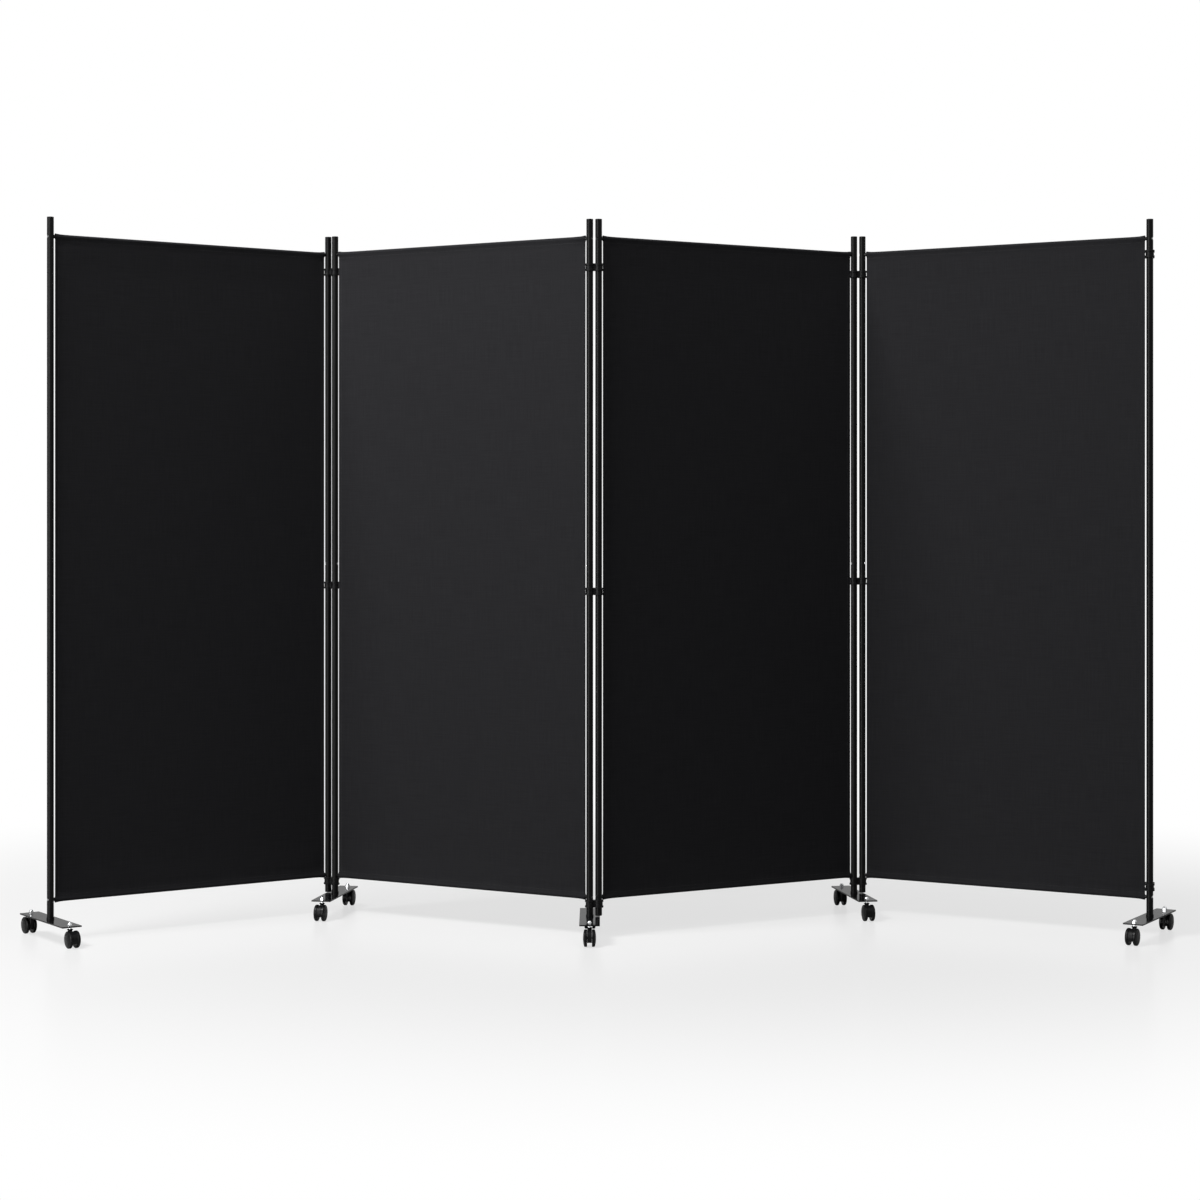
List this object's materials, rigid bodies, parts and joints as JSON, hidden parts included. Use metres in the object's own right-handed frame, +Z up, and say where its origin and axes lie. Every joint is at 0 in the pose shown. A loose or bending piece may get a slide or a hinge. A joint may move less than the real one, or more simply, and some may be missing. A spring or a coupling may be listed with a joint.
{
  "type": "folding privacy screen",
  "caption": "Folding privacy screen of stretched black fabric panels on thin tube posts, clipped together in a zigzag, on feet with twin-wheel casters.",
  "frame": {"origin": "on the floor, in the middle of the screen's footprint as it stands in the picture", "axes": "+X along the screen from its left end to its right end as seen from the front, +Y from the front to the back, +Z up"},
  "size_m": [2.7688, 0.6911, 1.698],
  "materials": {
    "screen_fabric": "matte black woven polyester, stretched",
    "coated_steel": "satin black powder coat on steel tube and rod",
    "gloss_coated_steel": "glossy black coat on steel plate",
    "black_plastic": "satin black moulded plastic",
    "wheel_plastic": "smooth black nylon wheels on a steel axle",
    "zinc_plated_steel": "bright zinc plate"
  },
  "bodies": {
    "panel_2": {"fabric_2": "screen_fabric", "rails_2": "coated_steel", "left_post_2": "coated_steel", "right_post_2": "coated_steel", "plugs_2": "black_plastic", "screws_2": "zinc_plated_steel"},
    "panel_1": {"fabric_1": "screen_fabric", "rails_1": "coated_steel", "left_post_1": "coated_steel", "right_post_1": "coated_steel", "plugs_1": "black_plastic", "screws_1": "zinc_plated_steel"},
    "panel_3": {"fabric_3": "screen_fabric", "rails_3": "coated_steel", "left_post_3": "coated_steel", "right_post_3": "coated_steel", "plugs_3": "black_plastic", "screws_3": "zinc_plated_steel"},
    "panel_4": {"fabric_4": "screen_fabric", "rails_4": "coated_steel", "left_post_4": "coated_steel", "right_post_4": "coated_steel", "plugs_4": "black_plastic", "screws_4": "zinc_plated_steel"},
    "link_1": {"clips_1_2": "black_plastic"},
    "link_2": {"clips_2_3": "black_plastic"},
    "link_3": {"clips_3_4": "black_plastic"},
    "end_clip_top": {"end_clip_top": "black_plastic"},
    "end_clip_bottom": {"end_clip_bottom": "black_plastic"},
    "foot_1": {"foot_plate_1": "gloss_coated_steel", "foot_hardware_1": "zinc_plated_steel"},
    "caster_1_front": {"caster_body_1_front": "black_plastic"},
    "wheels_1_front": {"wheels_1_front": "wheel_plastic"},
    "caster_1_rear": {"caster_body_1_rear": "black_plastic"},
    "wheels_1_rear": {"wheels_1_rear": "wheel_plastic"},
    "foot_2": {"foot_plate_2": "gloss_coated_steel", "foot_hardware_2": "zinc_plated_steel"},
    "caster_2_front": {"caster_body_2_front": "black_plastic"},
    "wheels_2_front": {"wheels_2_front": "wheel_plastic"},
    "caster_2_rear": {"caster_body_2_rear": "black_plastic"},
    "wheels_2_rear": {"wheels_2_rear": "wheel_plastic"},
    "foot_3": {"foot_plate_3": "gloss_coated_steel", "foot_hardware_3": "zinc_plated_steel"},
    "caster_3_front": {"caster_body_3_front": "black_plastic"},
    "wheels_3_front": {"wheels_3_front": "wheel_plastic"},
    "caster_3_rear": {"caster_body_3_rear": "black_plastic"},
    "wheels_3_rear": {"wheels_3_rear": "wheel_plastic"},
    "foot_4": {"foot_plate_4": "gloss_coated_steel", "foot_hardware_4": "zinc_plated_steel"},
    "caster_4_front": {"caster_body_4_front": "black_plastic"},
    "wheels_4_front": {"wheels_4_front": "wheel_plastic"},
    "caster_4_rear": {"caster_body_4_rear": "black_plastic"},
    "wheels_4_rear": {"wheels_4_rear": "wheel_plastic"},
    "foot_5": {"foot_plate_5": "gloss_coated_steel", "foot_hardware_5": "zinc_plated_steel"},
    "caster_5_front": {"caster_body_5_front": "black_plastic"},
    "wheels_5_front": {"wheels_5_front": "wheel_plastic"},
    "caster_5_rear": {"caster_body_5_rear": "black_plastic"},
    "wheels_5_rear": {"wheels_5_rear": "wheel_plastic"}
  },
  "joints": [
    {"name": "clip_pivot_2L", "type": "hinge", "parent": "panel_2", "child": "link_1", "pos_m": [-0.66498, 0.19767, 0.85], "axis": [0, 0, 1], "range_deg": [-85, 85]},
    {"name": "clip_pivot_1R", "type": "hinge", "parent": "link_1", "child": "panel_1", "pos_m": [-0.68317, 0.20817, 0.85], "axis": [0, 0, 1], "range_deg": [-150, 20]},
    {"name": "clip_pivot_2R", "type": "hinge", "parent": "panel_2", "child": "link_2", "pos_m": [-0.02413, -0.17233, 0.85], "axis": [0, 0, 1], "range_deg": [-115, 55]},
    {"name": "clip_pivot_3L", "type": "hinge", "parent": "link_2", "child": "panel_3", "pos_m": [-0.00313, -0.17233, 0.85], "axis": [0, 0, 1], "range_deg": [-115, 55]},
    {"name": "clip_pivot_3R", "type": "hinge", "parent": "panel_3", "child": "link_3", "pos_m": [0.63773, 0.19767, 0.85], "axis": [0, 0, -1], "range_deg": [-115, 55]},
    {"name": "clip_pivot_4L", "type": "hinge", "parent": "link_3", "child": "panel_4", "pos_m": [0.65873, 0.19767, 0.85], "axis": [0, 0, -1], "range_deg": [-115, 55]},
    {"name": "end_clip_top_pivot", "type": "hinge", "parent": "panel_4", "child": "end_clip_top", "pos_m": [1.29959, -0.17233, 1.616], "axis": [0, 0, 1], "range_deg": [-243, 27]},
    {"name": "end_clip_bottom_pivot", "type": "hinge", "parent": "panel_4", "child": "end_clip_bottom", "pos_m": [1.29959, -0.17233, 0.119], "axis": [0, 0, 1], "range_deg": [-243, 27]},
    {"name": "foot_1_pivot", "type": "hinge", "parent": "panel_1", "child": "foot_1", "pos_m": [-1.28934, -0.21627, 0.05], "axis": [0, 0, 1], "range_deg": [-90, 90]},
    {"name": "caster_1_front_swivel", "type": "hinge", "parent": "foot_1", "child": "caster_1_front", "pos_m": [-1.22338, -0.31048, 0.035], "axis": [0, 0, 1], "continuous": true},
    {"name": "wheels_1_front_axle", "type": "hinge", "parent": "caster_1_front", "child": "wheels_1_front", "pos_m": [-1.21535, -0.32194, 0.02], "axis": [0.8192, 0.5736, 0], "continuous": true},
    {"name": "caster_1_rear_swivel", "type": "hinge", "parent": "foot_1", "child": "caster_1_rear", "pos_m": [-1.3553, -0.12207, 0.035], "axis": [0, 0, 1], "continuous": true},
    {"name": "wheels_1_rear_axle", "type": "hinge", "parent": "caster_1_rear", "child": "wheels_1_rear", "pos_m": [-1.36333, -0.1106, 0.02], "axis": [0.8192, 0.5736, 0], "continuous": true},
    {"name": "foot_2_pivot", "type": "hinge", "parent": "panel_2", "child": "foot_2", "pos_m": [-0.66498, 0.19767, 0.05], "axis": [0, 0, 1], "range_deg": [-110, 70]},
    {"name": "caster_2_front_swivel", "type": "hinge", "parent": "foot_2", "child": "caster_2_front", "pos_m": [-0.68495, 0.08442, 0.035], "axis": [0, 0, 1], "continuous": true},
    {"name": "wheels_2_front_axle", "type": "hinge", "parent": "caster_2_front", "child": "wheels_2_front", "pos_m": [-0.68738, 0.07063, 0.02], "axis": [0.9848, -0.1736, 0], "continuous": true},
    {"name": "caster_2_rear_swivel", "type": "hinge", "parent": "foot_2", "child": "caster_2_rear", "pos_m": [-0.64501, 0.31093, 0.035], "axis": [0, 0, 1], "continuous": true},
    {"name": "wheels_2_rear_axle", "type": "hinge", "parent": "caster_2_rear", "child": "wheels_2_rear", "pos_m": [-0.64258, 0.32471, 0.02], "axis": [0.9848, -0.1736, 0], "continuous": true},
    {"name": "foot_3_pivot", "type": "hinge", "parent": "panel_2", "child": "foot_3", "pos_m": [-0.02413, -0.17233, 0.05], "axis": [0, 0, 1], "range_deg": [-120, 60]},
    {"name": "caster_3_front_swivel", "type": "hinge", "parent": "foot_3", "child": "caster_3_front", "pos_m": [-0.02413, -0.28733, 0.035], "axis": [0, 0, 1], "continuous": true},
    {"name": "wheels_3_front_axle", "type": "hinge", "parent": "caster_3_front", "child": "wheels_3_front", "pos_m": [-0.02413, -0.30133, 0.02], "axis": [1, 0, 0], "continuous": true},
    {"name": "caster_3_rear_swivel", "type": "hinge", "parent": "foot_3", "child": "caster_3_rear", "pos_m": [-0.02413, -0.05733, 0.035], "axis": [0, 0, 1], "continuous": true},
    {"name": "wheels_3_rear_axle", "type": "hinge", "parent": "caster_3_rear", "child": "wheels_3_rear", "pos_m": [-0.02413, -0.04333, 0.02], "axis": [1, 0, 0], "continuous": true},
    {"name": "foot_4_pivot", "type": "hinge", "parent": "panel_3", "child": "foot_4", "pos_m": [0.63773, 0.19767, 0.05], "axis": [0, 0, 1], "range_deg": [-70, 110]},
    {"name": "caster_4_front_swivel", "type": "hinge", "parent": "foot_4", "child": "caster_4_front", "pos_m": [0.6577, 0.08442, 0.035], "axis": [0, 0, 1], "continuous": true},
    {"name": "wheels_4_front_axle", "type": "hinge", "parent": "caster_4_front", "child": "wheels_4_front", "pos_m": [0.66014, 0.07063, 0.02], "axis": [0.9848, 0.1736, 0], "continuous": true},
    {"name": "caster_4_rear_swivel", "type": "hinge", "parent": "foot_4", "child": "caster_4_rear", "pos_m": [0.61776, 0.31093, 0.035], "axis": [0, 0, 1], "continuous": true},
    {"name": "wheels_4_rear_axle", "type": "hinge", "parent": "caster_4_rear", "child": "wheels_4_rear", "pos_m": [0.61533, 0.32471, 0.02], "axis": [0.9848, 0.1736, 0], "continuous": true},
    {"name": "foot_5_pivot", "type": "hinge", "parent": "panel_4", "child": "foot_5", "pos_m": [1.29959, -0.17233, 0.05], "axis": [0, 0, 1], "range_deg": [-90, 90]},
    {"name": "caster_5_front_swivel", "type": "hinge", "parent": "foot_5", "child": "caster_5_front", "pos_m": [1.24209, -0.27192, 0.035], "axis": [0, 0, 1], "continuous": true},
    {"name": "wheels_5_front_axle", "type": "hinge", "parent": "caster_5_front", "child": "wheels_5_front", "pos_m": [1.23509, -0.28404, 0.02], "axis": [0.866, -0.5, 0], "continuous": true},
    {"name": "caster_5_rear_swivel", "type": "hinge", "parent": "foot_5", "child": "caster_5_rear", "pos_m": [1.35709, -0.07273, 0.035], "axis": [0, 0, 1], "continuous": true},
    {"name": "wheels_5_rear_axle", "type": "hinge", "parent": "caster_5_rear", "child": "wheels_5_rear", "pos_m": [1.36409, -0.06061, 0.02], "axis": [0.866, -0.5, 0], "continuous": true}
  ]
}
